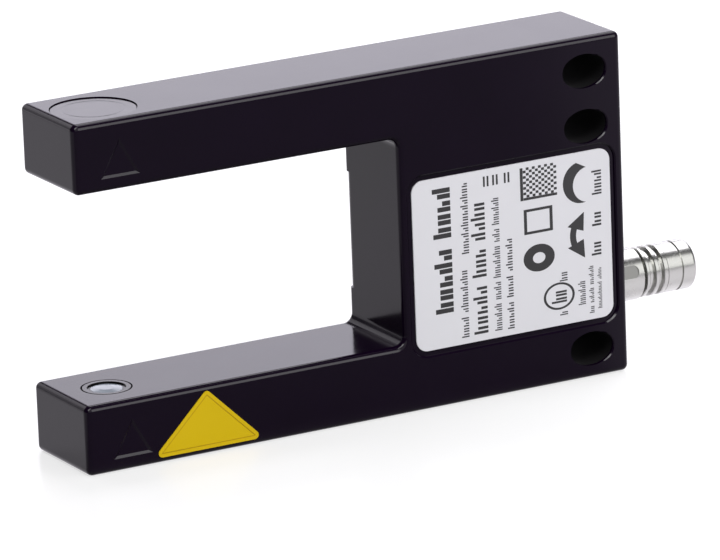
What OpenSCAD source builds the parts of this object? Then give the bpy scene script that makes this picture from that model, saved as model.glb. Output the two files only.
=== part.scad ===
// Fork light barrier: a cast U-shaped body with a laser emitter in the lower arm and a receiver in the
// upper arm. The electronics sit in the web, and the rear face holds two rotary adjusters and a plug.
// The origin is the centre of the bottom face, with +X towards the plug, +Y to the back and +Z up.

/* [Fork body] */
// Length of the body from the arm tips to the rear face
body_l = 87; // [84:0.5:110]
// Thickness of the body from front to back
body_t = 16; // [15.5:0.5:20]
// Clear height of the fork between its arms
fork_gap = 30; // [29:0.5:60]
// Clear depth of the fork from the arm tips to the web
fork_d = 50.5; // [40:0.5:52]
// Height of each arm
arm_h = 10; // [9.5:0.5:13]
// Rounding of the outer edges
edge_r = 0.9; // [0.3:0.05:0.9]
// Fillet in the inner corners of the fork
inner_r = 1.4; // [0.9:0.1:3]

/* [Reliefs] */
// Depth of the shallow step across the rear face
rear_relief = 0.2; // [0.1:0.05:0.4]
// Height of the rear step above the bottom face
rear_relief_low = 5.6; // [4:0.1:7]
// Distance of the rear step below the top face
rear_relief_top = 13.6; // [10:0.1:14]
// Rounding of the web's back edge where it is eased
web_ease_r = 1.6; // [1:0.1:1.8]
// Height of the eased edge above the lower arm
web_ease_low = 5.1; // [3:0.1:8]
// Distance of the eased edge below the upper arm
web_ease_top = 7.8; // [3:0.1:10]

/* [Walls] */
// Wall of the arms and of the web
wall = 1.8; // [1.5:0.1:2.2]
// Wall at the tip of each arm
tip_wall = 1.6; // [1.2:0.1:2.2]
// Front wall
front_wall = 2.2; // [1.6:0.1:2.8]
// Rear wall
rear_wall = 3.4; // [3:0.1:4.5]
// Corner radius of the cavity
cavity_r = 1; // [0.5:0.1:1.5]

/* [Back cover] */
// Thickness of the back cover
cover_t = 1.4; // [1:0.1:2]
// Width of the ledge that carries the back cover
cover_ledge = 0.8; // [0.5:0.1:1]
// Depth of the cover below the rim of the body
cover_sink = 0.2; // [0.1:0.05:0.4]
// Gap around the pieces that are bonded into the casting
seat_gap = 0.05; // [0.02:0.01:0.1]

/* [Mounting slots] */
// Length of each slot along the body
slot_l = 7.1; // [6:0.1:8]
// Width of each slot
slot_w = 5; // [4.5:0.1:5.4]
// Radius of the tighter arcs at the ends of each oval slot
slot_end_r = 2.1; // [1.6:0.05:2.15]
// Distance of the slots' centres from the rear face
slot_from_rear = 6.1; // [5.5:0.1:7]
// Distance of the top slot's centre from the top face
slot_from_top = 4.9; // [4.5:0.1:5.5]
// Distance between the two upper slots
slot_pitch = 8.05; // [7:0.05:8.5]
// Height of the bottom slot's centre above the bottom face
slot_from_bottom = 4.3; // [4:0.1:4.6]
// Bevel around the mouth of each slot
slot_rim = 0.15; // [0.1:0.01:0.18]
// Metal left between a slot and the cavity
slot_wall = 1.6; // [1.2:0.1:1.8]

/* [Label] */
// Thickness of the label film
label_t = 0.2; // [0.1:0.05:0.3]
// Corner radius of the label
label_r = 1.8; // [1:0.1:3]
// Gap between the label and the edge of its pocket
label_margin = 0.75; // [0.4:0.05:1.2]
// Depth of the label pocket
pocket_depth = 0.4; // [0.3:0.05:0.6]
// Bevel around the mouth of the label pocket
pocket_rim = 0.2; // [0.1:0.01:0.22]
// Metal left beside the pocket at the web's inner face
pocket_web = 1.2; // [1:0.1:2.5]
// Metal left beside the pocket at the rear face
pocket_rear = 1.5; // [1:0.1:2.5]
// Metal left between the pocket and the slot below it
pocket_low = 1; // [0.5:0.1:2]
// Metal left between the pocket and the slot above it
pocket_top = 0.4; // [0.4:0.1:2]

/* [Optics] */
// Distance of the beam from the arm tips
beam_from_tip = 7; // [6.9:0.1:9]
// Distance of the beam from the front face
beam_from_front = 7.4; // [7.2:0.1:8]
// Diameter of the round caps
cap_d = 12.1; // [11:0.1:12.6]
// Thickness of the round caps
cap_t = 1; // [0.8:0.05:1.2]
// Depth of the caps below the face around them
cap_sink = 0.15; // [0.1:0.05:0.4]
// Width of the ledge behind each cap
cap_ledge = 0.8; // [0.5:0.1:1.2]
// Outer diameter of the lens rings
ring_d = 7.2; // [6.4:0.1:8]
// Thickness of the lens rings
ring_t = 1.2; // [1.1:0.1:1.4]
// Width of the groove around the lens rings
ring_groove_w = 0.2; // [0.1:0.05:0.3]
// Depth of the groove around the lens rings
ring_groove = 0.5; // [0.2:0.1:0.8]
// Width of the step inside the lens rings
ring_step_w = 0.45; // [0.3:0.05:0.6]
// Depth of the step inside the lens rings
ring_step = 0.2; // [0.15:0.05:0.4]
// Diameter of the lenses
lens_d = 4.5; // [4.3:0.1:5]
// Thickness of the lenses
lens_t = 1.15; // [0.6:0.05:1.2]
// Radius of the curved face of the lenses
lens_curve = 20; // [6:0.5:30]
// Diameter of the aperture behind each lens
aperture_d = 3.8; // [3:0.1:4.1]
// Diameter of the laser diode's base
diode_base_d = 5.6; // [5:0.1:6]
// Thickness of the laser diode's base
diode_base_t = 1.2; // [0.8:0.1:1.4]
// Diameter of the laser diode's can
diode_can_d = 4.4; // [3.5:0.1:4.8]
// Height of the laser diode above its board
diode_h = 3.4; // [2.5:0.1:3.8]
// Width of the photodiode
photodiode_w = 4.4; // [3:0.1:5]
// Height of the photodiode above its board
photodiode_h = 1.6; // [1:0.1:2.5]

/* [Beam marks] */
// Width of the engraved triangles
mark_w = 6; // [4:0.1:7]
// Height of the engraved triangles
mark_h = 5.4; // [4:0.1:5.6]
// Height of a triangle's base above the lower edge of its arm
mark_low = 1.9; // [1.5:0.1:2.6]
// Depth of the engraving
mark_depth = 0.2; // [0.1:0.05:0.6]
// Slope of the engraving's walls
mark_slope = 60; // [30:5:60]

/* [Arm sticker] */
// Width of the sticker along the arm
sticker_w = 15.7; // [10:0.1:17]
// Height of the sticker
sticker_h = 8.3; // [6:0.1:8.6]
// Corner radius of the sticker
sticker_r = 0.6; // [0.3:0.1:1]
// Thickness of the sticker film
sticker_t = 0.12; // [0.08:0.02:0.2]
// Distance of the sticker's middle from the arm tips
sticker_from_tip = 18.7; // [18.5:0.1:40]
// Height of the sticker's lower edge above the bottom face
sticker_low = 0.85; // [0.8:0.05:0.9]

/* [Boards] */
// Thickness of the circuit boards
board_t = 0.8; // [0.6:0.1:1]
// Gap between a board's edge and the casting
board_gap = 0.4; // [0.3:0.05:0.6]
// Height of the pads that carry the arm boards
pad_h = 0.6; // [0.4:0.1:0.8]
// Length of the pads that carry the arm boards
pad_l = 5; // [4:0.5:8]
// Width of the pads that carry the arm boards
pad_w = 6; // [4:0.5:8]
// Diameter of the posts that carry the main board
post_d = 3.5; // [3:0.1:4.5]
// Diameter of the pegs on the posts
peg_d = 1.6; // [1.2:0.1:2]
// Length of the pegs past the main board
peg_out = 0.6; // [0.3:0.1:1]
// Distance of the posts from the web's inner wall
post_inset = 9; // [8:0.5:12]
// Distance of the posts from the top and bottom walls
post_edge = 4.4; // [4:0.1:6]
// Width of the controller chip
chip_w = 7; // [5:0.5:9]
// Thickness of the controller chip
chip_t = 1.2; // [0.8:0.1:2]
// Diameter of the leads to the arm boards
lead_d = 1.2; // [0.8:0.1:1.6]
// Distance of the leads from the web's inner wall
lead_inset = 3.5; // [3:0.1:4.5]
// Height of the leads above the arm boards
lead_rise = 1.6; // [1.2:0.1:2]
// Height that a lead climbs in the web before it meets the main board
lead_climb = 9; // [6:0.5:10]

/* [Adjusters] */
// Diameter of the adjusters' heads
head_d = 4.8; // [4.2:0.1:5]
// Thickness of the adjusters' heads
head_t = 1; // [0.8:0.1:1.2]
// Depth of the heads below the rear face
head_sink = 0.2; // [0.1:0.05:0.3]
// Diameter of the adjusters' shafts
shaft_d = 3; // [2.6:0.1:3.2]
// Diameter of the shafts' ends inside the trimmer and the switch
rotor_d = 2.4; // [1.8:0.1:2.5]
// Length of the shafts' ends inside the trimmer and the switch
rotor_l = 3; // [2:0.1:3.5]
// Gap around a turning head
head_gap = 0.2; // [0.15:0.05:0.3]
// Gap around a turning shaft
shaft_gap = 0.1; // [0.1:0.02:0.2]
// Width of the screwdriver slot
driver_w = 0.8; // [0.6:0.1:1]
// Depth of the screwdriver slot
driver_depth = 0.5; // [0.3:0.1:0.6]
// Thickness of the seal rings under the heads
seal_d = 0.7; // [0.5:0.05:0.75]
// Distance between the two adjusters
adjuster_pitch = 9; // [8.6:0.1:9.2]
// Width of the trimmer and of the switch
rotary_w = 5.4; // [5:0.1:5.6]
// Depth of the trimmer and of the switch from the main board
rotary_depth = 6.4; // [5.6:0.1:6.8]
// Length of the trimmer and of the switch
rotary_l = 5; // [4.5:0.1:6]
// Gap between the trimmer or the switch and the walls
rotary_gap = 0.25; // [0.2:0.05:0.4]
// Diameter of the switching lamp
led_d = 2.4; // [2:0.1:2.6]
// Length of the switching lamp behind the rear wall
led_tail = 1.5; // [1:0.1:2]
// Diameter of the switching lamp's legs
led_leg_d = 0.5; // [0.4:0.05:0.6]
// Length of the switching lamp's legs before they turn to the board
led_leg_l = 1.2; // [0.8:0.1:2]

/* [Plug connector] */
// Diameter of the plug's base
plug_d = 7.6; // [7.2:0.1:8]
// Length of the plug from the rear face to its end
plug_l = 14.5; // [14:0.1:20]
// Diameter of the plug's sleeve
sleeve_d = 7.3; // [6.8:0.1:7.6]
// Diameter at the bottom of the plug's grooves
neck_d = 6.4; // [6:0.1:6.6]
// Diameter of the stem in the rear wall
stem_d = 7; // [6.4:0.1:7]
// Length of the stem behind the rear wall
stem_tail = 1; // [0.6:0.1:2]
// Metal left between the stem's bore and the slot below it
stem_wall = 1.35; // [1.1:0.05:1.6]
// Length of the plug's base with its chamfer
base_l = 6; // [5.5:0.1:7]
// Chamfer at the end of the base
base_chamfer = 0.5; // [0.3:0.1:0.6]
// Length of the ring after the base
ring_l = 0.6; // [0.5:0.1:1]
// Length of the groove after the ring
groove_l = 0.9; // [0.6:0.1:1]
// Length of the rib after the groove
rib_l = 0.7; // [0.5:0.1:1]
// Length of the latch groove after the rib
latch_l = 0.7; // [0.5:0.1:1]
// Length of the collar after the latch groove
collar_l = 0.8; // [0.5:0.1:1]
// Depth of the rings, the rib and the collar below the base
plug_step = 0.12; // [0.08:0.02:0.2]
// Chamfer on both edges of the ring, the rib and the collar
ring_break = 0.1; // [0.05:0.05:0.2]
// Distance of the turned line from the sleeve's end
line_from_end = 2.7; // [2:0.1:3.5]
// Width of the turned line on the sleeve
line_w = 0.4; // [0.2:0.05:0.45]
// Depth of the turned line on the sleeve
line_depth = 0.2; // [0.16:0.02:0.3]
// Rounding of the sleeve's end
sleeve_r = 0.6; // [0.3:0.1:0.65]
// Width of the spanner flats
flat_w = 2; // [1.5:0.1:3]
// Length of the spanner flats from the rear face
flat_l = 4.7; // [2.5:0.1:4.8]
// Turn of the spanner flats about the plug's axis
flat_turn = 20; // [0:1:90]
// Inner diameter of the sleeve
socket_d = 5.8; // [5.6:0.1:6]
// Depth of the socket
socket_depth = 6.8; // [5:0.1:8]
// Diameter of the insert's stem
insert_d = 4.6; // [4:0.1:5]
// Thickness of the insert's flange
insert_t = 0.8; // [0.5:0.1:1.2]
// Diameter of the contact pins
pin_d = 1; // [0.8:0.05:1.1]
// Distance of the contact pins from the plug's axis
pin_circle_r = 1.35; // [1.2:0.05:1.5]
// Distance of the pins' tips below the sleeve's end
pin_sink = 1.6; // [1:0.1:2.5]
// Length of the pins behind the insert
pin_tail = 1.5; // [1:0.1:2]
// Diameter of the connector's leads
wire_d = 0.8; // [0.6:0.05:0.9]
// Step between the bends of neighbouring connector leads
wire_step = 1.3; // [1.1:0.1:1.6]
// Thickness of the seal ring in the stem
stem_seal_d = 0.7; // [0.5:0.05:0.8]

/* [Hidden] */
$fn = 64;

// Overshoot of a cut past the face that it opens
cut = 0.5;
// Gap between a contact pin and its hole, and overlap of the steps of a turned piece
snug_gap = 0.02;
// Gap on each side of a seal ring
seal_gap = 0.05;

// Outer faces of the body
body_h = fork_gap + 2 * arm_h;
tip_x = -body_l / 2;
rear_x = body_l / 2;
web_x = tip_x + fork_d;
front_y = -body_t / 2;
back_y = body_t / 2;
upper_z = arm_h + fork_gap;
seat_x = rear_x - rear_relief;

// Inner faces of the body
web_in_x = web_x + wall;
rear_in_x = rear_x - rear_wall;
cavity_y = front_y + front_wall;
cover_y = back_y - cover_sink - cover_t;

// Centres of the mounting slots, and the solid blocks around them
slot_x = rear_x - slot_from_rear;
slot_zs = [slot_from_bottom, body_h - slot_from_top - slot_pitch, body_h - slot_from_top];
block_x = slot_x - slot_l / 2 - slot_wall;
low_block_z = slot_zs[0] + slot_w / 2 + slot_wall;
high_block_z = slot_zs[1] - slot_w / 2 - slot_wall;

// Flanks of the oval slots: their radius, how far their centres lie past the middle, and the ends' centres
slot_end_x = slot_l / 2 - slot_end_r;
flank_r = (pow(slot_end_x, 2) + pow(slot_w / 2, 2) - pow(slot_end_r, 2)) / (slot_w - 2 * slot_end_r);
flank_in = flank_r - slot_w / 2;

// Label pocket in the front face
pocket_x = web_x + pocket_web;
pocket_z = slot_zs[0] + slot_w / 2 + pocket_low;
pocket_w = rear_x - pocket_rear - pocket_x;
pocket_h = slot_zs[1] - slot_w / 2 - pocket_top - pocket_z;
pocket_r = label_r + label_margin;

// Beam axis and the pads of the arm boards
beam_x = tip_x + beam_from_tip;
beam_y = front_y + beam_from_front;
cap_bore_d = cap_d - 2 * cap_ledge;
pad_x = beam_x + cap_bore_d / 2 + board_gap;
arm_board_z = wall + pad_h;
arm_board_x = tip_x + tip_wall + board_gap;
arm_board_l = pad_x + pad_l - arm_board_x;
lead_start_x = pad_x + pad_l / 2;

// Main board, its posts and the leads that reach it
board_y = rotary_depth / 2;
post_x = web_in_x + post_inset;
post_zs = [wall + post_edge, body_h - wall - post_edge];
lead_x = web_in_x + lead_inset;
lead_z = arm_board_z + board_t + lead_rise;

// Adjusters and switching lamp in the rear wall
sensitivity_z = high_block_z - rotary_gap - rotary_w / 2;
mode_z = sensitivity_z - adjuster_pitch;
led_z = (sensitivity_z + mode_z) / 2;
head_x = seat_x - head_sink - head_t;
well_x = head_x - seal_d - 2 * seal_gap;
rotary_x = rear_in_x - rotary_gap - rotary_l;
rotor_x = rear_in_x - rotary_gap - rotor_l;

// Stations along the plug
plug_z = slot_zs[0] + slot_w / 2 + stem_wall + stem_d / 2;
stem_x = rear_in_x - stem_tail;
base_x = rear_x + base_l;
ring_x = base_x + ring_l;
rib_x = ring_x + groove_l;
latch_x = rib_x + rib_l;
collar_x = latch_x + latch_l;
sleeve_x = collar_x + collar_l;
plug_x = rear_x + plug_l;
socket_x = plug_x - socket_depth;
seal_x = (rear_in_x + seat_x) / 2;
seal_groove_d = stem_d - 2 * stem_seal_d - 2 * seal_gap;
pin_x = stem_x - pin_tail;

// Rectangle with round corners, from its lower left corner
module round_rect(w, h, r) {
    translate([r, 0]) square([w - 2 * r, h]);
    translate([0, r]) square([w, h - 2 * r]);
    for (x = [r, w - r], y = [r, h - r])
        translate([x, y]) circle(r);
}

// What a round takes off a corner at the origin, whose metal lies to the right and below
module corner_nip(r) {
    difference() {
        translate([-cut, -r]) square([cut + r, cut + r]);
        translate([r, -r]) circle(r);
    }
}

// Outline in X and Z, carried along Y
module along_y(y, depth) {
    translate([0, y + depth, 0]) rotate([90, 0, 0]) linear_extrude(depth) children();
}

// Outline in Y and Z, carried along X
module along_x(x, length) {
    translate([x, 0, 0]) rotate([90, 0, 90]) linear_extrude(length) children();
}

// Round bar along X
module bar_x(x, length, d) {
    translate([x, 0, 0]) rotate([0, 90, 0]) cylinder(h = length, d = d);
}

// Outline in radius and X, turned about the X axis
module turned() {
    rotate([0, 90, 0]) rotate_extrude() children();
}

// Round wire through a list of points
module wire(points, d) {
    for (i = [1 : len(points) - 1]) {
        step = points[i] - points[i - 1];
        length = norm(step);
        translate(points[i - 1])
            rotate([0, acos(step[2] / length), atan2(step[1], step[0])])
                cylinder(h = length, d = d);
    }
    for (i = [1 : len(points) - 2])
        translate(points[i]) sphere(d = d);
}

// A piece of the lower arm at its place, or its mirror image in the upper arm
module in_arm(upper) {
    if (upper)
        translate([0, 0, body_h]) mirror([0, 0, 1]) children();
    else
        children();
}

// Space between the arms, seen from the front
module fork_space() {
    mouth_x = tip_x - cut;
    translate([mouth_x, arm_h]) square([web_x - inner_r - mouth_x, fork_gap]);
    translate([mouth_x, arm_h + inner_r]) square([web_x - mouth_x, fork_gap - 2 * inner_r]);
    for (z = [arm_h + inner_r, upper_z - inner_r])
        translate([web_x - inner_r, z]) circle(inner_r);
    translate([tip_x, arm_h]) corner_nip(edge_r);
    translate([tip_x, upper_z]) mirror([0, 1]) corner_nip(edge_r);
}

// What the rounding takes off a corner at the origin, whose metal lies towards +X, +Y and +Z
module corner_tip() {
    difference() {
        translate([-cut, -cut, -cut]) cube(cut + edge_r);
        translate([edge_r, edge_r, edge_r]) sphere(edge_r);
    }
}

// What the rounding takes off the corners of the front face
module front_tips() {
    for (low_z = [0, upper_z])
        translate([tip_x, front_y, low_z]) corner_tip();
    for (high_z = [arm_h, body_h])
        translate([tip_x, front_y, high_z]) mirror([0, 0, 1]) corner_tip();
    translate([rear_x, front_y, 0]) mirror([1, 0, 0]) corner_tip();
    translate([rear_x, front_y, body_h]) mirror([1, 0, 0]) mirror([0, 0, 1]) corner_tip();
}

// Front view of the body
module fork_outline() {
    difference() {
        translate([tip_x, 0]) round_rect(body_l, body_h, edge_r);
        fork_space();
        translate([seat_x, rear_relief_low])
            square([rear_relief + cut, body_h - rear_relief_low - rear_relief_top]);
    }
}

// Body with its outer edges rounded, before it is hollowed
module body_blank() {
    intersection() {
        along_y(front_y - cut, body_t + 2 * cut) fork_outline();
        translate([tip_x, front_y, -cut]) linear_extrude(body_h + 2 * cut) round_rect(body_l, body_t, edge_r);
        along_x(tip_x - cut, body_l + 2 * cut) translate([front_y, 0]) round_rect(body_t, body_h, edge_r);
    }
}

// What the rounding takes off the front edges inside the fork
module fork_edge_nips() {
    run = fork_d - inner_r + cut;
    along_x(tip_x - cut, run) translate([front_y, arm_h]) corner_nip(edge_r);
    along_x(tip_x - cut, run) translate([front_y, upper_z]) mirror([0, 1]) corner_nip(edge_r);
    translate([web_x, front_y, arm_h + inner_r])
        linear_extrude(fork_gap - 2 * inner_r) mirror([0, 1]) corner_nip(edge_r);
    for (corner = [[arm_h + inner_r, -90], [upper_z - inner_r, 0]])
        translate([web_x - inner_r, 0, corner[0]])
            rotate([90, 0, 0])
                rotate([0, 0, corner[1]])
                    rotate_extrude(angle = 90) translate([inner_r, back_y]) corner_nip(edge_r);
}

// Outline of the cavity, grown by a ledge where asked
module cavity_outline(grow = 0) {
    r = cavity_r + grow;
    arm_x = tip_x + tip_wall - grow;
    arm_l = block_x + grow - arm_x;
    for (z = [wall - grow, upper_z + wall - grow])
        translate([arm_x, z]) round_rect(arm_l, arm_h - 2 * wall + 2 * grow, r);
    translate([web_in_x - grow, wall - grow])
        round_rect(block_x - web_in_x + 2 * grow, body_h - 2 * wall + 2 * grow, r);
    translate([web_in_x - grow, low_block_z - grow])
        round_rect(rear_in_x - web_in_x + 2 * grow, high_block_z - low_block_z + 2 * grow, r);
}

// Oval bore along Y from the origin, made of four arcs that meet smoothly, and wider by a flare at its start
module oval_bore(depth, flare = 0) {
    reach = (flank_r + flare + cut) / (flank_r - slot_end_r);
    for (side = [-1, 1]) {
        translate([side * slot_end_x, 0, 0])
            rotate([-90, 0, 0]) cylinder(h = depth, r1 = slot_end_r + flare, r2 = slot_end_r);
        intersection() {
            translate([0, 0, -side * flank_in])
                rotate([-90, 0, 0]) cylinder(h = depth, r1 = flank_r + flare, r2 = flank_r);
            along_y(0, depth) polygon([
                [0, -side * flank_in],
                [reach * slot_end_x, side * (reach - 1) * flank_in],
                [reach * slot_end_x, side * ((reach - 1) * flank_in + slot_w)],
                [-reach * slot_end_x, side * ((reach - 1) * flank_in + slot_w)],
                [-reach * slot_end_x, side * (reach - 1) * flank_in]
            ]);
        }
    }
}

// Mounting slot through the body, with a bevel at both mouths
module mounting_slot() {
    rim = slot_rim + cut;
    translate([0, front_y - cut, 0]) oval_bore(body_t + 2 * cut);
    for (back = [0, 1])
        mirror([0, back, 0]) translate([0, front_y - cut, 0]) oval_bore(rim, rim);
}

// Label pocket in the front face, from its lower left corner, with a bevel at its mouth
module label_pocket() {
    rim = pocket_rim + cut;
    along_y(front_y - cut, cut + pocket_depth) round_rect(pocket_w, pocket_h, pocket_r);
    translate([0, front_y - cut, 0]) {
        for (x = [pocket_r, pocket_w - pocket_r], z = [pocket_r, pocket_h - pocket_r])
            translate([x, 0, z]) rotate([-90, 0, 0]) cylinder(h = rim, r1 = pocket_r + rim, r2 = pocket_r);
        along_x(pocket_r, pocket_w - 2 * pocket_r)
            polygon([[0, -rim], [rim, 0], [rim, pocket_h], [0, pocket_h + rim]]);
        translate([0, 0, pocket_r]) linear_extrude(pocket_h - 2 * pocket_r)
            polygon([[-rim, 0], [0, rim], [pocket_w, rim], [pocket_w + rim, 0]]);
    }
}

// Seats of the cap, the lens ring and the lens in the lower arm
module optic_seats() {
    translate([beam_x, beam_y, -cut]) {
        cylinder(h = cut + cap_sink + cap_t, d = cap_d + 2 * seat_gap);
        cylinder(h = cut + wall + cut, d = cap_bore_d);
    }
    translate([beam_x, beam_y, arm_h - wall - cut]) cylinder(h = wall + cut, d = aperture_d);
    translate([beam_x, beam_y, arm_h - ring_t]) cylinder(h = ring_t + cut, d = ring_d + 2 * seat_gap);
}

// All that lies on one side of a sloped wall, which leaves the front face along a line through a point
module mark_side(x, z, turn) {
    far = 4 * mark_w;
    translate([x, front_y, z]) rotate([0, -turn, 0]) rotate([mark_slope, 0, 0])
        translate([-far, -far, 0]) cube([2 * far, 2 * far, far]);
}

// Triangle that points up, engraved with sloped walls above the lower edge of an arm
module beam_mark(arm_z) {
    z = arm_z + mark_low;
    rise = atan2(2 * mark_h, mark_w);
    intersection() {
        translate([beam_x - mark_w, front_y - cut, z - mark_h])
            cube([2 * mark_w, cut + mark_depth, 3 * mark_h]);
        mark_side(beam_x - mark_w / 2, z, 0);
        mark_side(beam_x + mark_w / 2, z, 180 - rise);
        mark_side(beam_x, z + mark_h, 180 + rise);
    }
}

// Pad on the outer wall of an arm that carries the arm's board
module board_pad() {
    translate([pad_x, beam_y - pad_w / 2, wall - cut]) cube([pad_l, pad_w, pad_h + cut]);
}

// Post on the front wall that carries the main board, with its peg
module board_post() {
    translate([0, cavity_y - cut, 0]) rotate([-90, 0, 0]) {
        cylinder(h = board_y - cavity_y + cut, d = post_d);
        cylinder(h = board_y - cavity_y + cut + board_t + peg_out, d = peg_d);
    }
}

// Well and bore of an adjuster in the rear wall
module adjuster_seat() {
    bar_x(well_x, seat_x - well_x + cut, head_d + 2 * head_gap);
    bar_x(rear_in_x - cut, rear_wall, shaft_d + 2 * shaft_gap);
}

// Cast and painted U-shaped body
module housing() {
    color("#1c1a1e") {
        difference() {
            body_blank();
            fork_edge_nips();
            mirror([0, 1, 0]) fork_edge_nips();
            front_tips();
            mirror([0, 1, 0]) front_tips();
            translate([web_x, back_y, arm_h + web_ease_low])
                linear_extrude(fork_gap - web_ease_low - web_ease_top) corner_nip(web_ease_r);
            along_y(cavity_y, body_t) cavity_outline();
            along_y(cover_y, body_t) cavity_outline(cover_ledge);
            translate([pocket_x, 0, pocket_z]) label_pocket();
            for (z = slot_zs)
                translate([slot_x, 0, z]) mounting_slot();
            for (upper = [false, true])
                in_arm(upper) optic_seats();
            for (arm_z = [0, upper_z])
                beam_mark(arm_z);
            for (z = [mode_z, sensitivity_z])
                translate([0, 0, z]) adjuster_seat();
            translate([0, 0, led_z]) bar_x(rear_in_x - cut, rear_wall + 2 * cut, led_d + 2 * seat_gap);
            translate([0, 0, plug_z]) bar_x(stem_x - cut, rear_x - stem_x + 2 * cut, stem_d + 2 * seat_gap);
        }
        for (upper = [false, true])
            in_arm(upper) board_pad();
        for (z = post_zs)
            translate([post_x, 0, z]) board_post();
    }
}

// Plate bonded into the back of the body
module back_cover() {
    color("#232125") along_y(cover_y, cover_t) cavity_outline(cover_ledge - seat_gap);
}

// Round cap that closes the assembly opening of an arm
module cap() {
    translate([beam_x, beam_y, cap_sink]) cylinder(h = cap_t, d = cap_d);
}

module receiver_cap() {
    color("#242227") in_arm(true) cap();
}

module emitter_cap() {
    color("#242227") cap();
}

// Ring that holds a lens, stepped outside and inside
module lens_ring() {
    bore_d = lens_d + 2 * seat_gap;
    translate([beam_x, beam_y, arm_h - ring_t])
        difference() {
            union() {
                cylinder(h = ring_t - ring_groove, d = ring_d);
                cylinder(h = ring_t, d = ring_d - 2 * ring_groove_w);
            }
            translate([0, 0, -cut]) cylinder(h = ring_t + 2 * cut, d = bore_d);
            translate([0, 0, ring_t - ring_step])
                cylinder(h = ring_step + cut, d = bore_d + 2 * ring_step_w);
        }
}

module emitter_ring() {
    color("#1a1a1c") lens_ring();
}

module receiver_ring() {
    color("#1a1a1c") in_arm(true) lens_ring();
}

// Lens with a flat back and a curved outer face
module lens() {
    translate([beam_x, beam_y, arm_h - ring_t])
        intersection() {
            cylinder(h = lens_t, d = lens_d);
            translate([0, 0, lens_t - lens_curve]) sphere(r = lens_curve);
        }
}

module emitter_lens() {
    color("#c9d4de") lens();
}

module receiver_lens() {
    color("#5a1f24") in_arm(true) lens();
}

// Laser diode in its metal can
module laser_diode() {
    color("#b8963c") translate([beam_x, beam_y, arm_board_z + board_t]) {
        cylinder(h = diode_base_t, d = diode_base_d);
        cylinder(h = diode_h, d = diode_can_d);
    }
}

module photodiode() {
    color("#2b2b2f") in_arm(true)
        translate([beam_x - photodiode_w / 2, beam_y - photodiode_w / 2, arm_board_z + board_t])
            cube([photodiode_w, photodiode_w, photodiode_h]);
}

// Small board that lies on the pad of its arm
module arm_board() {
    y = cavity_y + board_gap;
    translate([arm_board_x, y, arm_board_z]) cube([arm_board_l, cover_y - board_gap - y, board_t]);
}

module emitter_board() {
    color("#1f6b3a") arm_board();
}

module receiver_board() {
    color("#1f6b3a") in_arm(true) arm_board();
}

// Lead from an arm board along the arm, up the web and to the main board
module arm_lead() {
    start_z = arm_board_z + board_t;
    end_z = lead_z + lead_climb;
    wire([
        [lead_start_x, 0, start_z],
        [lead_start_x, 0, lead_z],
        [lead_x, 0, lead_z],
        [lead_x, 0, end_z],
        [lead_x, board_y, end_z]
    ], lead_d);
}

module emitter_lead() {
    color("#8a8a90") arm_lead();
}

module receiver_lead() {
    color("#8a8a90") in_arm(true) arm_lead();
}

// Main board that fills the web, with holes for its pegs
module main_board() {
    color("#1f6b3a") difference() {
        along_y(board_y, board_t) {
            translate([web_in_x + board_gap, wall + board_gap])
                square([block_x - web_in_x - 2 * board_gap, body_h - 2 * wall - 2 * board_gap]);
            translate([web_in_x + board_gap, low_block_z + board_gap])
                square([rear_in_x - web_in_x - 2 * board_gap, high_block_z - low_block_z - 2 * board_gap]);
        }
        for (z = post_zs)
            translate([post_x, board_y - cut, z]) rotate([-90, 0, 0])
                cylinder(h = board_t + 2 * cut, d = peg_d + 2 * seat_gap);
    }
}

module controller_chip() {
    color("#26262a") translate([post_x - chip_w / 2, board_y - chip_t, body_h / 2 - chip_w / 2])
        cube([chip_w, chip_t, chip_w]);
}

// Trimmer or switch on the main board, with a socket for an adjuster's shaft
module rotary_body(z) {
    translate([0, 0, z]) difference() {
        translate([rotary_x, -rotary_depth / 2, -rotary_w / 2]) cube([rotary_l, rotary_depth, rotary_w]);
        bar_x(rotor_x - 2 * head_gap, rotor_l + 2 * head_gap + cut, shaft_d + 2 * shaft_gap);
    }
}

module sensitivity_trimmer() {
    color("#3563a8") rotary_body(sensitivity_z);
}

module mode_switch() {
    color("#2f2f33") rotary_body(mode_z);
}

// Adjuster with a slotted head in the rear wall and a shaft that reaches into its trimmer or switch
module adjuster(z) {
    translate([0, 0, z]) difference() {
        union() {
            bar_x(head_x, head_t, head_d);
            bar_x(rear_in_x - rotary_gap, head_x - rear_in_x + rotary_gap + snug_gap, shaft_d);
            bar_x(rotor_x, rotor_l + snug_gap, rotor_d);
        }
        translate([head_x + head_t - driver_depth, -head_d / 2 - cut, -driver_w / 2])
            cube([driver_depth + cut, head_d + 2 * cut, driver_w]);
    }
}

module sensitivity_screw() {
    color("#d8d4c8") adjuster(sensitivity_z);
}

module mode_screw() {
    color("#d8d4c8") adjuster(mode_z);
}

// Seal ring between an adjuster's head and the floor of its well
module adjuster_seal(z) {
    translate([0, 0, z]) turned()
        translate([(shaft_d + seal_d) / 2 + seal_gap, (well_x + head_x) / 2]) circle(d = seal_d);
}

module sensitivity_seal() {
    color("#151515") adjuster_seal(sensitivity_z);
}

module mode_seal() {
    color("#151515") adjuster_seal(mode_z);
}

// Switching lamp in the rear wall, with its two legs on the main board
module status_led() {
    tail_x = rear_in_x - led_tail;
    dome_x = seat_x - head_sink - led_d / 2;
    color("#e0b64a") {
        translate([0, 0, led_z]) {
            bar_x(tail_x, dome_x - tail_x, led_d);
            translate([dome_x, 0, 0]) sphere(d = led_d);
        }
        for (side = [-1, 1]) {
            leg_z = led_z + side * led_d / 4;
            wire([
                [tail_x + snug_gap, 0, leg_z],
                [tail_x - led_leg_l, 0, leg_z],
                [tail_x - led_leg_l, board_y, leg_z]
            ], led_leg_d);
        }
    }
}

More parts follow.
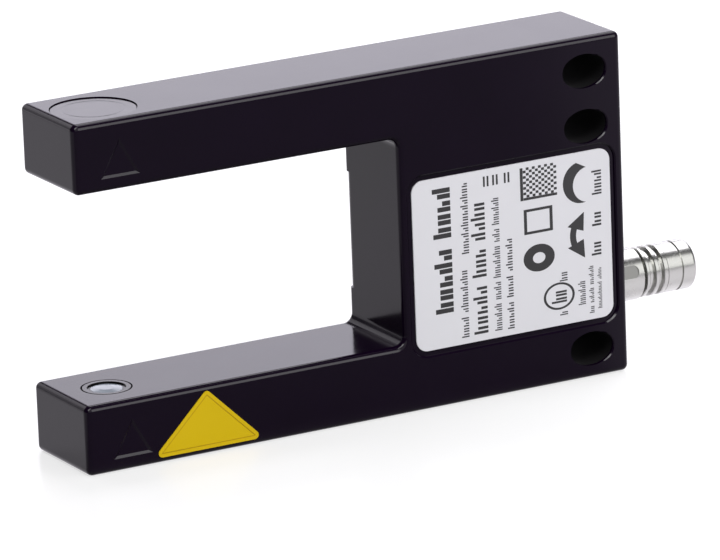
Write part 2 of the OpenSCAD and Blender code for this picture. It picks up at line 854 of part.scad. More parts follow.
// Half profile of a ring on the plug, as radius and X, with both its edges chamfered
function land(start, end) = let (r = plug_d / 2 - plug_step) [
    [r - ring_break, start],
    [r, start + ring_break],
    [r, end - ring_break],
    [r - ring_break, end]
];

// Half profile of the turned shell, as radius and X
module shell_profile() {
    seal_half = stem_seal_d / 2 + seal_gap;
    polygon([
        [0, stem_x],
        [stem_d / 2, stem_x],
        [stem_d / 2, seal_x - seal_half],
        [seal_groove_d / 2, seal_x - seal_half],
        [seal_groove_d / 2, seal_x + seal_half],
        [stem_d / 2, seal_x + seal_half],
        [stem_d / 2, seat_x],
        [plug_d / 2, seat_x],
        [plug_d / 2, base_x - base_chamfer],
        [plug_d / 2 - base_chamfer, base_x],
        each land(base_x, ring_x),
        [neck_d / 2, ring_x],
        [neck_d / 2, rib_x],
        each land(rib_x, latch_x),
        [neck_d / 2, latch_x],
        [neck_d / 2, collar_x],
        each land(collar_x, sleeve_x),
        [sleeve_d / 2, sleeve_x],
        [sleeve_d / 2, plug_x],
        [0, plug_x]
    ]);
}

// Spanner flat with a round end, cut into the top of the plug's base
module spanner_flat() {
    flat_z = sqrt(pow(plug_d / 2, 2) - pow(flat_w / 2, 2));
    mill_d = flat_w + 2 * snug_gap;
    run = flat_l - mill_d / 2;
    translate([seat_x - cut, -mill_d / 2, flat_z]) cube([rear_x + run - seat_x + cut, mill_d, cut]);
    translate([rear_x + run, 0, flat_z]) cylinder(h = cut, d = mill_d);
}

// Bright turned shell of the plug
module connector_shell() {
    color("#c9c8c4") translate([0, 0, plug_z]) difference() {
        turned() shell_profile();
        turned() translate([sleeve_d / 2, plug_x]) mirror([1, 0]) corner_nip(sleeve_r);
        turned() translate([sleeve_d / 2 - line_depth, plug_x - line_from_end])
            square([line_depth + cut, line_w]);
        bar_x(socket_x, socket_depth + cut, socket_d);
        bar_x(stem_x - cut, socket_x - stem_x + 2 * cut, insert_d + 2 * seat_gap);
        for (side = [0, 180])
            rotate([90 - flat_turn + side, 0, 0]) spanner_flat();
    }
}

// Places of the contact pins about the plug's axis
pin_turns = [90, 210, 330];

// Contact carrier inside the shell
module connector_insert() {
    color("#1d1d20") translate([0, 0, plug_z]) difference() {
        union() {
            bar_x(stem_x, socket_x - stem_x, insert_d);
            bar_x(socket_x, insert_t, socket_d - 2 * seat_gap);
        }
        for (turn = pin_turns)
            translate([0, pin_circle_r * cos(turn), pin_circle_r * sin(turn)])
                bar_x(stem_x - cut, socket_x + insert_t - stem_x + 2 * cut, pin_d + 2 * snug_gap);
    }
}

module contact_pins() {
    color("#c8a24a") for (turn = pin_turns)
        translate([0, pin_circle_r * cos(turn), plug_z + pin_circle_r * sin(turn)])
            bar_x(pin_x, plug_x - pin_sink - pin_x, pin_d);
}

// Short leads from the contact pins to the main board, each bent a step further from the plug
module connector_leads() {
    color("#7a3b30") for (i = [0 : len(pin_turns) - 1]) {
        y = pin_circle_r * cos(pin_turns[i]);
        z = plug_z + pin_circle_r * sin(pin_turns[i]);
        bend_x = pin_x - wire_step * (len(pin_turns) - i);
        wire([[pin_x, y, z], [bend_x, y, z], [bend_x, board_y, z]], wire_d);
    }
}

module connector_seal() {
    color("#151515") translate([0, 0, plug_z]) turned()
        translate([(seal_groove_d + stem_seal_d) / 2 + seal_gap, seal_x]) circle(d = stem_seal_d);
}

// Printed film on the floor of the label pocket
module label() {
    color("#e4e4ea") along_y(front_y + pocket_depth - label_t, label_t)
        translate([pocket_x + label_margin, pocket_z + label_margin])
            round_rect(pocket_w - 2 * label_margin, pocket_h - 2 * label_margin, label_r);
}

// Triangular film sticker with round corners on the front of the lower arm
module arm_sticker() {
    color("#e3bd12") along_y(front_y - sticker_t, sticker_t)
        translate([tip_x + sticker_from_tip, sticker_low])
            hull() {
                for (x = [sticker_r - sticker_w / 2, sticker_w / 2 - sticker_r])
                    translate([x, sticker_r]) circle(sticker_r, $fn = 32);
                translate([0, sticker_h - sticker_r]) circle(sticker_r, $fn = 32);
            }
}

housing();
back_cover();
receiver_cap();
emitter_cap();
emitter_ring();
emitter_lens();
laser_diode();
emitter_board();
emitter_lead();
receiver_ring();
receiver_lens();
photodiode();
receiver_board();
receiver_lead();
main_board();
controller_chip();
sensitivity_trimmer();
sensitivity_screw();
sensitivity_seal();
mode_switch();
mode_screw();
mode_seal();
status_led();
connector_shell();
connector_insert();
contact_pins();
connector_leads();
connector_seal();
label();
arm_sticker();
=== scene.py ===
import math

import bmesh
import bpy
from mathutils import Matrix, Quaternion, Vector


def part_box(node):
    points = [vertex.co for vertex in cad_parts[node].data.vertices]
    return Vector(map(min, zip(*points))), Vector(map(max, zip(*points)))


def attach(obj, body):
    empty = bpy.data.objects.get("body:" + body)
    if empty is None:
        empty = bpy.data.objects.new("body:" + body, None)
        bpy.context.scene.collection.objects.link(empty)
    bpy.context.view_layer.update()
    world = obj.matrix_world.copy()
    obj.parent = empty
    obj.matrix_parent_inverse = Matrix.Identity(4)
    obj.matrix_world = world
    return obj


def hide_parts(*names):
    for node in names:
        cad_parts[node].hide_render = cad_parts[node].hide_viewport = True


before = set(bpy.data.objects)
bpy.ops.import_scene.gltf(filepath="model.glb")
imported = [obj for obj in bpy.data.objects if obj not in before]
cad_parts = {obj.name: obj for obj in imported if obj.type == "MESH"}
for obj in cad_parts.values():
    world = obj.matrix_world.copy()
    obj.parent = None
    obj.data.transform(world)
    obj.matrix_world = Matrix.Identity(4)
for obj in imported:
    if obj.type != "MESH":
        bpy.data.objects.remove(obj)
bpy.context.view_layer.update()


# Camera: it stands to the left of the front and a little above the arms, with a long lens.
# It is tipped by about two degrees, so the fork climbs to the right.
mm = 0.001
look_at = Vector((0.19, -7.87, 20.81)) * mm
azimuth, elevation, tip = math.radians(-28.68), math.radians(15.92), math.radians(-2.19)
camera_away = 1037.3 * mm
film_w, focal_l = 36, 371.4
to_camera = Vector((
    math.sin(azimuth) * math.cos(elevation),
    -math.cos(azimuth) * math.cos(elevation),
    math.sin(elevation),
))
camera = bpy.data.objects.new("camera", bpy.data.cameras.new("camera"))
camera.data.sensor_width = film_w
camera.data.lens = focal_l
camera.location = look_at + to_camera * camera_away
camera.rotation_euler = (to_camera.to_track_quat("Z", "Y") @ Quaternion((0, 0, 1), tip)).to_euler()
bpy.context.scene.collection.objects.link(camera)
bpy.context.scene.camera = camera
bpy.context.scene.view_settings.view_transform = "Standard"


# Floor: a wide white sheet with a slight gloss, on which the sensor stands.
# Its plain part takes the shadow. White is added for the eye, and behind and beside the sensor for what
# paint, metal and glass mirror, so that the front of the sensor stays dark.
def put(tree, kind, inputs=None, **settings):
    """A node with its settings, and with each input given a value or another node's output."""
    made = tree.nodes.new(kind)
    for name, value in settings.items():
        setattr(made, name, value)
    for name, value in (inputs or {}).items():
        if isinstance(value, bpy.types.NodeSocket):
            tree.links.new(value, made.inputs[name])
        else:
            made.inputs[name].default_value = value
    return made


def worked_out(tree, operation, *values):
    """The output of a math node."""
    return put(tree, "ShaderNodeMath", dict(enumerate(values)), operation=operation).outputs[0]


sharp_from = math.radians(7)


def object_from(name, shape, *materials):
    """A finished object from a bmesh drawn in mm, with its faces turned outwards."""
    bmesh.ops.scale(shape, vec=(mm, mm, mm), verts=shape.verts)
    bmesh.ops.recalc_face_normals(shape, faces=shape.faces)
    mesh = bpy.data.meshes.new(name)
    shape.to_mesh(mesh)
    shape.free()
    mesh.shade_smooth()
    mesh.set_sharp_from_angle(angle=sharp_from)
    for material in materials:
        mesh.materials.append(material)
    made = bpy.data.objects.new(name, mesh)
    bpy.context.scene.collection.objects.link(made)
    return made


floor_half, floor_drop = 3000, 0.02
floor_white = (0.5, 0.5, 0.5, 1)
floor_glow = 0.58
floor_gloss, floor_blur = 0.1, 0.2
sweep_tint = (1.0, 0.95, 1.05, 1)
sweep_glow = 0.75
sweep_start, sweep_end = -16 * mm, 0.0
right_from, right_slope = 40 * mm, 1.826
left_from, left_slope = 55 * mm, 0.7
sheet = bpy.data.materials.new("white_sheet")
sheet.use_nodes = True
tree = sheet.node_tree
tree.nodes.clear()
path = put(tree, "ShaderNodeLightPath").outputs
place = put(tree, "ShaderNodeTexCoord").outputs["Object"]
across, along, _ = put(tree, "ShaderNodeSeparateXYZ", {0: place}).outputs
right = worked_out(tree, "MAXIMUM", worked_out(tree, "SUBTRACT", across, right_from), 0)
left = worked_out(tree, "MAXIMUM", worked_out(tree, "SUBTRACT", -left_from, across), 0)
widened = worked_out(tree, "MULTIPLY_ADD", right, right_slope, along)
widened = worked_out(tree, "MULTIPLY_ADD", left, left_slope, widened)
sweep = put(tree, "ShaderNodeMapRange", {"Value": widened, "From Min": sweep_start, "From Max": sweep_end,
                                         "To Max": sweep_glow}, interpolation_type="SMOOTHSTEP").outputs[0]
mirrored = worked_out(tree, "MAXIMUM", path["Is Glossy Ray"], path["Is Transmission Ray"])
sweep_light = put(tree, "ShaderNodeEmission", {
    "Color": sweep_tint, "Strength": worked_out(tree, "MULTIPLY", mirrored, sweep)}).outputs[0]
eye_light = put(tree, "ShaderNodeEmission", {
    "Strength": worked_out(tree, "MULTIPLY", path["Is Camera Ray"], floor_glow)}).outputs[0]
plain = put(tree, "ShaderNodeBsdfDiffuse", {"Color": floor_white}).outputs[0]
gloss = put(tree, "ShaderNodeBsdfGlossy", {"Roughness": floor_blur}).outputs[0]
glazed = put(tree, "ShaderNodeMixShader", {0: floor_gloss, 1: plain, 2: gloss}).outputs[0]
glowing = put(tree, "ShaderNodeAddShader", {0: sweep_light, 1: eye_light}).outputs[0]
lit = put(tree, "ShaderNodeAddShader", {0: glazed, 1: glowing}).outputs[0]
put(tree, "ShaderNodeOutputMaterial", {"Surface": lit})

shape = bmesh.new()
bmesh.ops.create_grid(shape, x_segments=1, y_segments=1, size=floor_half)
bmesh.ops.translate(shape, verts=shape.verts, vec=(0, 0, -floor_drop))
floor = object_from("floor", shape, sheet)


# Studio: a dim room with large soft boxes around the sensor. The back and left boxes lie along the top faces,
# the top box rolls off over their front edges, and the tip box over their left ends. The edge and rim boxes,
# which only the housing takes, draw the light lines on its black edges.
room_grey = (0.12, 0.12, 0.125, 1)
world = bpy.data.worlds.new("room")
world.use_nodes = True
world.node_tree.nodes["Background"].inputs["Color"].default_value = room_grey
bpy.context.scene.world = world


def soft_box(name, direction, away, width, height, radiance, tint=(1, 1, 1), upright=(0, 0, 1), only=()):
    """A soft box that faces the sensor, lights all of it or only some solids, and is not seen itself."""
    light = bpy.data.lights.new(name, "AREA")
    light.shape = "RECTANGLE"
    light.size, light.size_y = width, height
    light.energy = radiance * math.pi * width * height
    light.color = tint
    lamp = bpy.data.objects.new(name, light)
    toward = Vector(direction).normalized()
    across = Vector(upright).cross(toward).normalized()
    turn = Matrix((across, toward.cross(across), toward)).transposed()
    lamp.matrix_world = Matrix.Translation(look_at + toward * away) @ turn.to_4x4()
    lamp.visible_camera = False
    bpy.context.scene.collection.objects.link(lamp)
    if only:
        lamp.light_linking.receiver_collection = bpy.data.collections.new(name)
        for node in only:
            lamp.light_linking.receiver_collection.objects.link(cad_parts[node])


soft_box("edge_box", (0.46, -0.78, 0.42), 1.2, 0.5, 0.73, 6.4, only=["housing"])
soft_box("top_box", (0.46, 0.36, 0.81), 1.2, 0.5, 1.1, 5.0, tint=(0.96, 0.94, 1.0), upright=(0, 1, 0))
soft_box("front_box", (-0.4, -0.53, 0.75), 1.3, 0.55, 0.5, 6.0)
soft_box("rim_box", (-0.17, -0.48, 0.86), 1.3, 1.24, 0.3, 14.0, upright=(0.27, -0.74, -0.36),
         only=["housing"])
soft_box("front_wall", (0.1, -0.87, 0.49), 2.0, 4.0, 1.7, 1.75)
soft_box("back_box", (0.465, 0.849, 0.25), 1.5, 1.6, 0.5, 2.36, tint=(0.92, 0.89, 1.0))
soft_box("left_box", (-0.2, 0.94, 0.35), 1.5, 0.64, 0.8, 2.0, tint=(0.97, 0.94, 1.0))
soft_box("tip_box", (-0.56, 0.77, 0.32), 0.284, 0.05, 0.2, 1.1, tint=(0.97, 0.94, 1.0))


# Housing: the U-shaped body, cast in one piece with the slots, the label's pocket and the beam marks.
# It has a hard gloss black paint, with the slight ripple that a sprayed coat has. The paint in the slots'
# In the slots' bores the paint is duller, and its colour is darkened there as painted shade.
def new_group(name, inputs, outputs):
    """A node group with its sockets, and the sockets of the node that holds its inputs."""
    group = bpy.data.node_groups.new(name, "ShaderNodeTree")
    for socket, kind, value in inputs:
        group.interface.new_socket(socket, in_out="INPUT", socket_type=kind).default_value = value
    for socket, kind in outputs:
        group.interface.new_socket(socket, in_out="OUTPUT", socket_type=kind)
    return group, group.nodes.new("NodeGroupInput").outputs


# Skin of a finished surface: cloudy tone and gloss, and a fine grain that can be drawn out into lines.
skin, given = new_group(
    "surface_skin",
    [
        ("Color", "NodeSocketColor", (0.5, 0.5, 0.5, 1)),
        ("Tone", "NodeSocketFloat", 0.1),
        ("Roughness", "NodeSocketFloat", 0.3),
        ("Spread", "NodeSocketFloat", 0.1),
        ("Clouds", "NodeSocketFloat", 200),
        ("Grain", "NodeSocketFloat", 2000),
        ("Depth", "NodeSocketFloat", 0.000001),
        ("Stretch", "NodeSocketVector", (1, 1, 1)),
    ],
    [("Color", "NodeSocketColor"), ("Roughness", "NodeSocketFloat"), ("Normal", "NodeSocketVector")],
)
place = put(skin, "ShaderNodeTexCoord").outputs["Object"]
drawn = put(skin, "ShaderNodeVectorMath", {0: place, 1: given["Stretch"]}, operation="MULTIPLY").outputs[0]
clouds = put(skin, "ShaderNodeTexNoise", {"Vector": place, "Scale": given["Clouds"], "Detail": 3}).outputs[0]
grain = put(skin, "ShaderNodeTexNoise", {"Vector": drawn, "Scale": given["Grain"], "Detail": 2}).outputs[0]
centred = worked_out(skin, "SUBTRACT", clouds, 0.5)
toned = worked_out(skin, "MULTIPLY_ADD", centred, given["Tone"], 1)
shaded = put(skin, "ShaderNodeVectorMath", {0: given["Color"], "Scale": toned}, operation="SCALE").outputs[0]
put(skin, "NodeGroupOutput", {
    "Color": shaded,
    "Roughness": worked_out(skin, "MULTIPLY_ADD", centred, given["Spread"], given["Roughness"]),
    "Normal": put(skin, "ShaderNodeBump", {"Height": grain, "Distance": given["Depth"]}).outputs[0],
})


def finish(name, skin_values, **shader_values):
    """A material with the skin's varying colour, gloss and normal, and plain values on the shader."""
    material = bpy.data.materials.new(name)
    material.use_nodes = True
    tree = material.node_tree
    face = put(tree, "ShaderNodeGroup", node_tree=skin)
    for socket, value in skin_values.items():
        face.inputs[socket].default_value = value
    shader = tree.nodes["Principled BSDF"]
    for socket, value in shader_values.items():
        shader.inputs[socket.replace("_", " ")].default_value = value
    tree.links.new(face.outputs["Color"], shader.inputs["Base Color"])
    tree.links.new(face.outputs["Roughness"], shader.inputs["Roughness"])
    tree.links.new(face.outputs["Normal"], shader.inputs["Normal"])
    return material


def shade_and_dull_where(material, mask, tone, dull):
    """Makes a finish darker with painted shade, and duller, where a mask is 1."""
    tree = material.node_tree
    shader = tree.nodes["Principled BSDF"]
    colour, gloss = (shader.inputs[socket].links[0].from_socket for socket in ("Base Color", "Roughness"))
    toned = worked_out(tree, "MULTIPLY_ADD", mask, tone - 1, 1)
    darker = put(tree, "ShaderNodeVectorMath", {0: colour, "Scale": toned}, operation="SCALE").outputs[0]
    tree.links.new(darker, shader.inputs["Base Color"])
    tree.links.new(worked_out(tree, "MULTIPLY_ADD", mask, dull, gloss), shader.inputs["Roughness"])


def dress(material, *nodes):
    """Gives solids of the frame their finish."""
    for name in nodes:
        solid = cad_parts[name]
        solid.data.materials.clear()
        solid.data.materials.append(material)


black_paint = finish(
    "black_paint",
    {"Color": (0.0021, 0.0003, 0.0037, 1), "Tone": 0.4, "Roughness": 0.15, "Spread": 0.08,
     "Clouds": 120, "Grain": 1800, "Depth": 0.0000015},
    IOR=1.22,
)
low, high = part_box("housing")
slot_from_rear, slot_half = 6.1 * mm, 4 * mm
skin_depth = 0.5 * mm
# The bores' colour is darkened as painted shade; their dullness is a rougher finish.
bore_shade_tone, bore_dull = 0.1, 0.85
tree = black_paint.node_tree
place = put(tree, "ShaderNodeTexCoord").outputs["Object"]
inside = 1
for value, middle, half in zip(
    put(tree, "ShaderNodeSeparateXYZ", {0: place}).outputs,
    (high.x - slot_from_rear, (low.y + high.y) / 2, (low.z + high.z) / 2),
    (slot_half, (high.y - low.y) / 2 - skin_depth, (high.z - low.z) / 2 - skin_depth),
):
    inside = worked_out(tree, "MULTIPLY", worked_out(tree, "COMPARE", value, middle, half), inside)
shade_and_dull_where(black_paint, inside, bore_shade_tone, bore_dull)
dress(black_paint, "housing")


# Lens rings: turned and blackened sleeves that hold the lenses in the arms.
# Each is pressed into its seat, flush with the arm's inner face, with a fine groove around it.
ring_black = finish(
    "ring_black",
    {"Color": (0.004, 0.004, 0.005, 1), "Tone": 0.3, "Roughness": 0.2, "Spread": 0.1,
     "Clouds": 400, "Grain": 5000, "Depth": 0.000001},
    IOR=1.25,
)
dress(ring_black, "emitter_ring", "receiver_ring")


# Lenses: pressed glass with a domed face, bonded into the rings.
# The emitter's is clear and looks milky over the laser, and the receiver's is a dark red filter.
lens_glass = finish(
    "lens_glass",
    {"Color": (0.27, 0.30, 0.35, 1), "Tone": 0.3, "Roughness": 0.14, "Spread": 0.1,
     "Clouds": 900, "Grain": 2000, "Depth": 0.0000003},
    IOR=1.3,
)
filter_glass = finish(
    "filter_glass",
    {"Color": (0.16, 0.012, 0.018, 1), "Tone": 0.05, "Roughness": 0.06, "Spread": 0.03,
     "Clouds": 300, "Grain": 2000, "Depth": 0.0000003},
    IOR=1.5, Transmission_Weight=0.3, Coat_Weight=1.0,
)
dress(lens_glass, "emitter_lens")
dress(filter_glass, "receiver_lens")


# Electronics: glass-fibre boards with their chips and optics, which the back cover closes in.
# The boards lie on pads and pegs of the casting, and grey leads join them.
board_green = finish(
    "board_green",
    {"Color": (0.02, 0.12, 0.05, 1), "Tone": 0.3, "Roughness": 0.3, "Spread": 0.1,
     "Clouds": 300, "Grain": 4000, "Depth": 0.000002},
)
dress(board_green, "main_board", "emitter_board", "receiver_board")
chip_black = finish(
    "chip_black",
    {"Color": (0.02, 0.02, 0.022, 1), "Tone": 0.2, "Roughness": 0.5, "Spread": 0.1,
     "Clouds": 300, "Grain": 9000, "Depth": 0.000002},
)
dress(chip_black, "controller_chip", "photodiode", "mode_switch")
trimmer_blue = finish(
    "trimmer_blue",
    {"Color": (0.04, 0.13, 0.4, 1), "Tone": 0.1, "Roughness": 0.35, "Spread": 0.1,
     "Clouds": 300, "Grain": 6000, "Depth": 0.000002},
)
dress(trimmer_blue, "sensitivity_trimmer")
gold = finish(
    "gold_plate",
    {"Color": (0.8, 0.56, 0.2, 1), "Tone": 0.1, "Roughness": 0.2, "Spread": 0.1,
     "Clouds": 500, "Grain": 4000, "Depth": 0.0000006},
    Metallic=1.0,
)
dress(gold, "laser_diode", "contact_pins")
lead_grey = finish(
    "lead_grey",
    {"Color": (0.25, 0.25, 0.27, 1), "Tone": 0.1, "Roughness": 0.45, "Spread": 0.1,
     "Clouds": 300, "Grain": 6000, "Depth": 0.000002},
)
dress(lead_grey, "connector_leads", "emitter_lead", "receiver_lead")


# Adjusters: two moulded white heads with a screwdriver slot, sunk in the rear wall on rubber seals.
# The switching lamp, a clear amber dome, stands between them.
adjuster_white = finish(
    "adjuster_white",
    {"Color": (0.68, 0.65, 0.58, 1), "Tone": 0.08, "Roughness": 0.4, "Spread": 0.1,
     "Clouds": 300, "Grain": 8000, "Depth": 0.000002},
)
dress(adjuster_white, "sensitivity_screw", "mode_screw")
seal_rubber = finish(
    "seal_rubber",
    {"Color": (0.009, 0.009, 0.009, 1), "Tone": 0.4, "Roughness": 0.6, "Spread": 0.1,
     "Clouds": 400, "Grain": 9000, "Depth": 0.000003},
)
dress(seal_rubber, "connector_seal", "sensitivity_seal", "mode_seal")
led_amber = finish(
    "led_amber",
    {"Color": (0.8, 0.5, 0.08, 1), "Tone": 0.1, "Roughness": 0.12, "Spread": 0.05,
     "Clouds": 300, "Grain": 3000, "Depth": 0.0000005},
    Transmission_Weight=0.5, Coat_Weight=0.5,
)
dress(led_amber, "status_led")


# Plug: a shell turned from brass and plated with satin nickel, with fine lines from the lathe.
# It is pressed into the rear wall and holds a black insert with the contact pins.
nickel = finish(
    "nickel",
    {"Color": (0.44, 0.44, 0.42, 1), "Tone": 0.06, "Roughness": 0.26, "Spread": 0.08,
     "Clouds": 500, "Grain": 9000, "Depth": 0.0000006, "Stretch": (1, 0.03, 0.03)},
    Metallic=1.0,
)
low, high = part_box("connector_shell")
axis_z, plug_r, round_off = (low.z + high.z) / 2, (high.z - low.z) / 2, 0.01 * mm
# The milled flat on the plug is painted darker as painted shade, and is duller.
flat_l, flat_shade_tone, flat_dull = 4.8 * mm, 0.6, 0.25
flat_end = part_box("housing")[1].x + flat_l + round_off
tree = nickel.node_tree
place = put(tree, "ShaderNodeTexCoord").outputs["Object"]
along, across, up = put(tree, "ShaderNodeSeparateXYZ", {0: place}).outputs
rise = worked_out(tree, "SUBTRACT", up, axis_z)
radius = worked_out(tree, "SQRT", worked_out(
    tree, "MULTIPLY_ADD", rise, rise, worked_out(tree, "MULTIPLY", across, across)))
milled = worked_out(tree, "MULTIPLY", worked_out(tree, "LESS_THAN", radius, plug_r - round_off),
                    worked_out(tree, "LESS_THAN", along, flat_end))
shade_and_dull_where(nickel, milled, flat_shade_tone, flat_dull)
dress(nickel, "connector_shell")
insert_black = finish(
    "insert_black",
    {"Color": (0.012, 0.012, 0.013, 1), "Tone": 0.3, "Roughness": 0.42, "Spread": 0.1,
     "Clouds": 300, "Grain": 9000, "Depth": 0.000002},
)
dress(insert_black, "connector_insert")


# Back cover: a flat plate, cut to the casting's outline and bonded into the ledge of its back.
# It has the housing's black in a thinner and duller coat.
cover_black = finish(
    "cover_black",
    {"Color": (0.0040, 0.0016, 0.0056, 1), "Tone": 0.4, "Roughness": 0.24, "Spread": 0.1,
     "Clouds": 90, "Grain": 2600, "Depth": 0.000002},
    IOR=1.22,
)
dress(cover_black, "back_cover")


# Caps: round covers over the emitter's and the receiver's wells, turned in black plastic.
# Each is pressed a little below the face around it, and has a fine turned ring near its edge.
def box_of(node):
    """Lowest corner, highest corner and middle of a solid of the frame, in mm."""
    low, high = (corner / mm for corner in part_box(node))
    return low, high, (low + high) / 2


merge_within = 0.0001


def spun(outline, centre, axis, steps=96):
    """A closed turned shape: its outline of radius and height, spun about an axis through a centre."""
    shape = bmesh.new()
    axis = Vector(axis)
    side = axis.orthogonal().normalized()
    corners = [shape.verts.new(centre + side * radius + axis * height) for radius, height in outline]
    edges = [shape.edges.new(pair) for pair in zip(corners, corners[1:])]
    bmesh.ops.spin(shape, geom=corners + edges, cent=centre, axis=axis, angle=2 * math.pi, steps=steps,
                   use_merge=True)
    bmesh.ops.remove_doubles(shape, verts=shape.verts, dist=merge_within)
    return shape


cap_black = finish(
    "cap_black",
    {"Color": (0.0036, 0.0012, 0.0052, 1), "Tone": 0.4, "Roughness": 0.17, "Spread": 0.1,
     "Clouds": 150, "Grain": 2500, "Depth": 0.000001},
    IOR=1.26,
)
cap_edge = 0.1
cap_line, cap_line_half, cap_line_depth = 4.4, 0.12, 0.015
for node, outward in (("receiver_cap", 1), ("emitter_cap", -1)):
    low, high, middle = box_of(node)
    radius, half = (high.x - low.x) / 2, (high.z - low.z) / 2
    shape = spun(
        [
            (0, half),
            (cap_line - cap_line_half, half),
            (cap_line, half - cap_line_depth),
            (cap_line + cap_line_half, half),
            (radius - cap_edge, half),
            (radius, half - cap_edge),
            (radius, -half),
            (0, -half),
        ],
        middle, (0, 0, outward),
    )
    cap = object_from(node + "_turned", shape, cap_black)
    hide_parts(node)
    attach(cap, "body")


# Label: a white film with dark print that reads upwards, stuck in the pocket of the housing's front.
# Its words are rows of short strokes. The wedge and the double arrow stand beside the two adjusters.
label_white = finish(
    "label_white",
    {"Color": (0.73, 0.725, 0.76, 1), "Tone": 0.03, "Roughness": 0.4, "Spread": 0.08,
     "Clouds": 150, "Grain": 3000, "Depth": 0.000001},
)
label_ink = finish(
    "label_ink",
    {"Color": (0.022, 0.021, 0.023, 1), "Tone": 0.1, "Roughness": 0.45, "Spread": 0.08,
     "Clouds": 300, "Grain": 3000, "Depth": 0.000001},
)


def on_circle(centre, radius, angle):
    """The point of a circle at an angle in radians."""
    return centre[0] + radius * math.cos(angle), centre[1] + radius * math.sin(angle)


def arc(centre, radius, start, turn, steps):
    """Points on an arc, from a start angle through a turn in radians."""
    return [on_circle(centre, radius, start + turn * step / steps) for step in range(steps + 1)]


def rounded(centres, radius, steps=16):
    """Outline of a flat piece with round corners about the given centres, which go round to the left."""
    outline = []
    for before, centre, after in zip(centres[-1:] + centres[:-1], centres, centres[1:] + centres[:1]):
        come, go = Vector(centre) - Vector(before), Vector(after) - Vector(centre)
        start = math.atan2(come.y, come.x) - math.pi / 2
        outline += arc(centre, radius, start, -come.angle_signed(go), steps)
    return outline


def extruded(shape, outline, front, back):
    """A flat piece in X and Z, from a front to a back plane in Y, and its front face."""
    face = shape.faces.new([shape.verts.new((x, front, z)) for x, z in outline])
    grown = bmesh.ops.extrude_face_region(shape, geom=[face])["geom"]
    moved = [item for item in grown if isinstance(item, bmesh.types.BMVert)]
    bmesh.ops.translate(shape, verts=moved, vec=(0, back - front, 0))
    return face


low, high, _ = box_of("label")
label_corner, label_rim = 1.8, 0.03
ink_t, ink_sunk = 0.012, 0.02
label_shape = bmesh.new()
film = extruded(label_shape, rounded([
    (low.x + label_corner, low.z + label_corner),
    (high.x - label_corner, low.z + label_corner),
    (high.x - label_corner, high.z - label_corner),
    (low.x + label_corner, high.z - label_corner),
], label_corner), low.y, high.y)
bmesh.ops.bevel(label_shape, geom=list(film.edges), offset=label_rim, affect="EDGES", segments=2, profile=0.5,
                material=-1)


def stamp(outline):
    """A closed field of ink, placed from the label's lower left corner."""
    placed = [(low.x + x, low.z + z) for x, z in outline]
    front = extruded(label_shape, placed, low.y - ink_t, low.y + ink_sunk)
    for vert in front.verts:
        for face in vert.link_faces:
            face.material_index = 1


def bar(x0, x1, z0, z1):
    """A straight field of ink."""
    stamp([(x0, z0), (x1, z0), (x1, z1), (x0, z1)])


# Heights of the two strokes that stand for a letter, in turn, and their places and the gap between words in
# parts of a letter's room
letter_strokes = [(1.0, 0.72), (0.72, 0.72), (0.72, 0.45), (0.72, 1.0), (0.45, 0.72)]
stroke_places, word_gap = (0, 0.44), 0.7


def print_row(x0, x1, z0, z1, words, weight=0.25):
    """Words of so many letters each, as pairs of short strokes in a row that reads upwards."""
    pitch = (z1 - z0) / (sum(words) + word_gap * (len(words) - 1))
    z, placed = z0, 0
    for letters in words:
        for _ in range(letters):
            for part, height in zip(stroke_places, letter_strokes[placed % len(letter_strokes)]):
                bar(x1 - height * (x1 - x0), x1, z + part * pitch, z + (part + weight) * pitch)
            z, placed = z + pitch, placed + 1
        z += word_gap * pitch


def ring_mark(x, z, radius, width, steps=48):
    """A printed ring, a little longer along the body than across it."""
    stretch = 1.28
    centre = Vector((low.x + x, 0, low.z + z))
    side = Vector((math.sin(math.pi / 4), 0, math.cos(math.pi / 4)))
    corners = [
        label_shape.verts.new(centre + side * r + Vector((0, y, 0)))
        for r, y in ((radius, low.y - ink_t), (radius, low.y + ink_sunk),
                     (radius - width, low.y + ink_sunk), (radius - width, low.y - ink_t))
    ]
    edges = [label_shape.edges.new(pair) for pair in zip(corners, corners[1:] + corners[:1])]
    before = set(label_shape.faces)
    bmesh.ops.spin(label_shape, geom=corners + edges, cent=centre, axis=(0, 1, 0), angle=2 * math.pi,
                   steps=steps, use_merge=True)
    made = set(label_shape.faces) - before
    for face in made:
        face.material_index = 1
    bmesh.ops.scale(label_shape, vec=(stretch, 1, 1), space=Matrix.Translation(-centre),
                    verts=list({vert for face in made for vert in face.verts}))


print_row(3.25, 6.15, 5.05, 23.65, [5, 4], weight=0.36)
print_row(7.35, 8.55, 0.95, 10.95, [4, 8])
print_row(7.75, 8.95, 13.15, 23.65, [13])
print_row(9.35, 11.65, 1.05, 20.55, [5, 3, 4], weight=0.27)
print_row(12.75, 13.95, 1.05, 20.65, [6, 4, 7, 3, 6])
print_row(14.85, 15.95, 0.95, 14.35, [5, 4, 6])

# A short row across, with its strokes along the body
stroke, row_z, row_h = 0.3, 22.35, 1.5
for x in (11.55, 12.15, 13.05, 13.65, 14.95, 15.55):
    bar(x, x + stroke, row_z, row_z + row_h)

# A chequered field with two solid sides, whose cells stand a little apart
code_x, code_z, cell_x, cell_z, cells, filled = 17.55, 19.25, 0.5, 0.4, 12, 0.94
bar(code_x, code_x + filled * cell_x, code_z, code_z + cells * cell_z)
bar(code_x + cell_x, code_x + cells * cell_x, code_z, code_z + filled * cell_z)
for i in range(1, cells):
    for k in range(1 + i % 2, cells, 2):
        x, z = code_x + i * cell_x, code_z + k * cell_z
        bar(x, x + filled * cell_x, z, z + filled * cell_z)

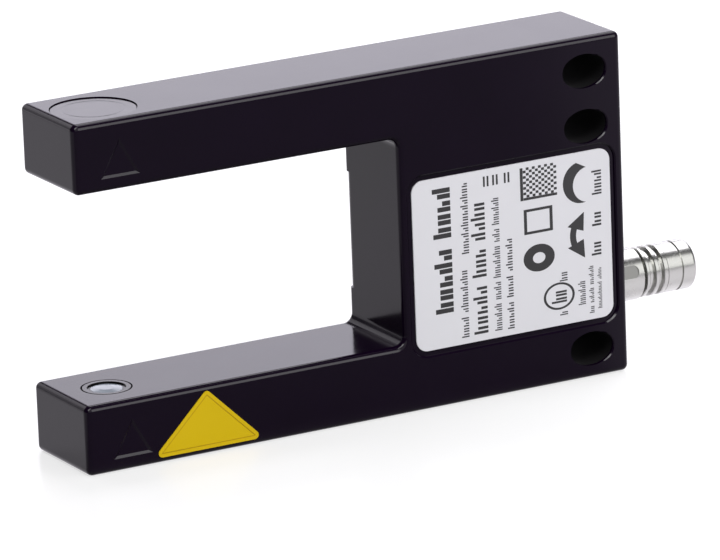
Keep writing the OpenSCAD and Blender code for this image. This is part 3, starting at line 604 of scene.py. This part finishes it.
# An open square, two rings and the small words around them
ring_mark(20.35, 16.05, 2.6, 0.55, steps=4)
ring_mark(20.3, 10.55, 2.0, 1.2)
ring_mark(23.4, 4.35, 2.0, 0.3)
print_row(22.15, 24.65, 3.35, 5.35, [2], weight=0.3)
print_row(23.45, 24.75, 1.45, 2.15, [1])
print_row(23.55, 24.85, 6.45, 7.95, [2])
print_row(26.55, 27.75, 2.45, 6.05, [6])
print_row(28.35, 29.15, 0.95, 8.05, [2, 4, 5])
print_row(29.75, 30.45, 1.45, 7.55, [9, 4])

# Double arrow: an arc that bows to the left, with a head at each end
arrow_at, arrow_r, arrow_half = (29.35, 12.65), 3.4, 0.5
barb_r, barb_half, barb_turn = 3.15, 1.4, math.radians(20)
tip_r, tip_turn = 3.7, math.radians(66)
outline = []
for side in (1, -1):
    barb, point = math.pi + side * barb_turn, math.pi + side * tip_turn
    outline += arc(arrow_at, arrow_r + side * arrow_half, math.pi - side * barb_turn, 2 * side * barb_turn, 8)
    outline.append(on_circle(arrow_at, barb_r + side * barb_half, barb))
    outline.append(on_circle(arrow_at, tip_r, point))
    outline.append(on_circle(arrow_at, barb_r - side * barb_half, barb))
stamp(outline)

# Wedge: an outer and an inner arc that bow to the left, apart at the top and together in a point below
outer_at, outer_r, outer_start, outer_turn = (27.58, 20.43), 3.05, math.radians(282.7), math.radians(-177.6)
inner_at, inner_r, inner_start, inner_turn = (28.76, 19.99), 2.59, math.radians(99), math.radians(159.7)
stamp(arc(outer_at, outer_r, outer_start, outer_turn, 20)
      + arc(inner_at, inner_r, inner_start, inner_turn, 20)[:-1])

# Words beside the adjusters' marks
print_row(29.25, 30.85, 18.25, 22.05, [4], weight=0.27)
print_row(29.15, 30.65, 13.65, 15.95, [2], weight=0.27)
print_row(28.95, 30.55, 9.35, 11.55, [2], weight=0.27)

label = object_from("label_film", label_shape, label_white, label_ink)
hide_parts("label")
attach(label, "body")


# Arm sticker: a plain yellow film with round corners, stuck on the front of the lower arm.
# A fine amber line runs inside its edge.
sticker_yellow = finish(
    "sticker_yellow",
    {"Color": (0.66, 0.46, 0.002, 1), "Tone": 0.05, "Roughness": 0.35, "Spread": 0.08,
     "Clouds": 150, "Grain": 3000, "Depth": 0.000001},
    IOR=1.3,
)
sticker_amber = finish(
    "sticker_amber",
    {"Color": (0.46, 0.27, 0.002, 1), "Tone": 0.05, "Roughness": 0.35, "Spread": 0.08,
     "Clouds": 150, "Grain": 3000, "Depth": 0.000001},
    IOR=1.3,
)
low, high, middle = box_of("arm_sticker")
sticker_corner, line_in, line_w = 0.6, 0.5, 0.12
shape = bmesh.new()
face = extruded(shape, rounded([
    (low.x + sticker_corner, low.z + sticker_corner),
    (high.x - sticker_corner, low.z + sticker_corner),
    (middle.x, high.z - sticker_corner),
], sticker_corner, steps=8), low.y, high.y)
bmesh.ops.inset_region(shape, faces=[face], thickness=line_in)
for lined in bmesh.ops.inset_region(shape, faces=[face], thickness=line_w)["faces"]:
    lined.material_index = 1
sticker = object_from("arm_sticker_film", shape, sticker_yellow, sticker_amber)
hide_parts("arm_sticker")
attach(sticker, "body")
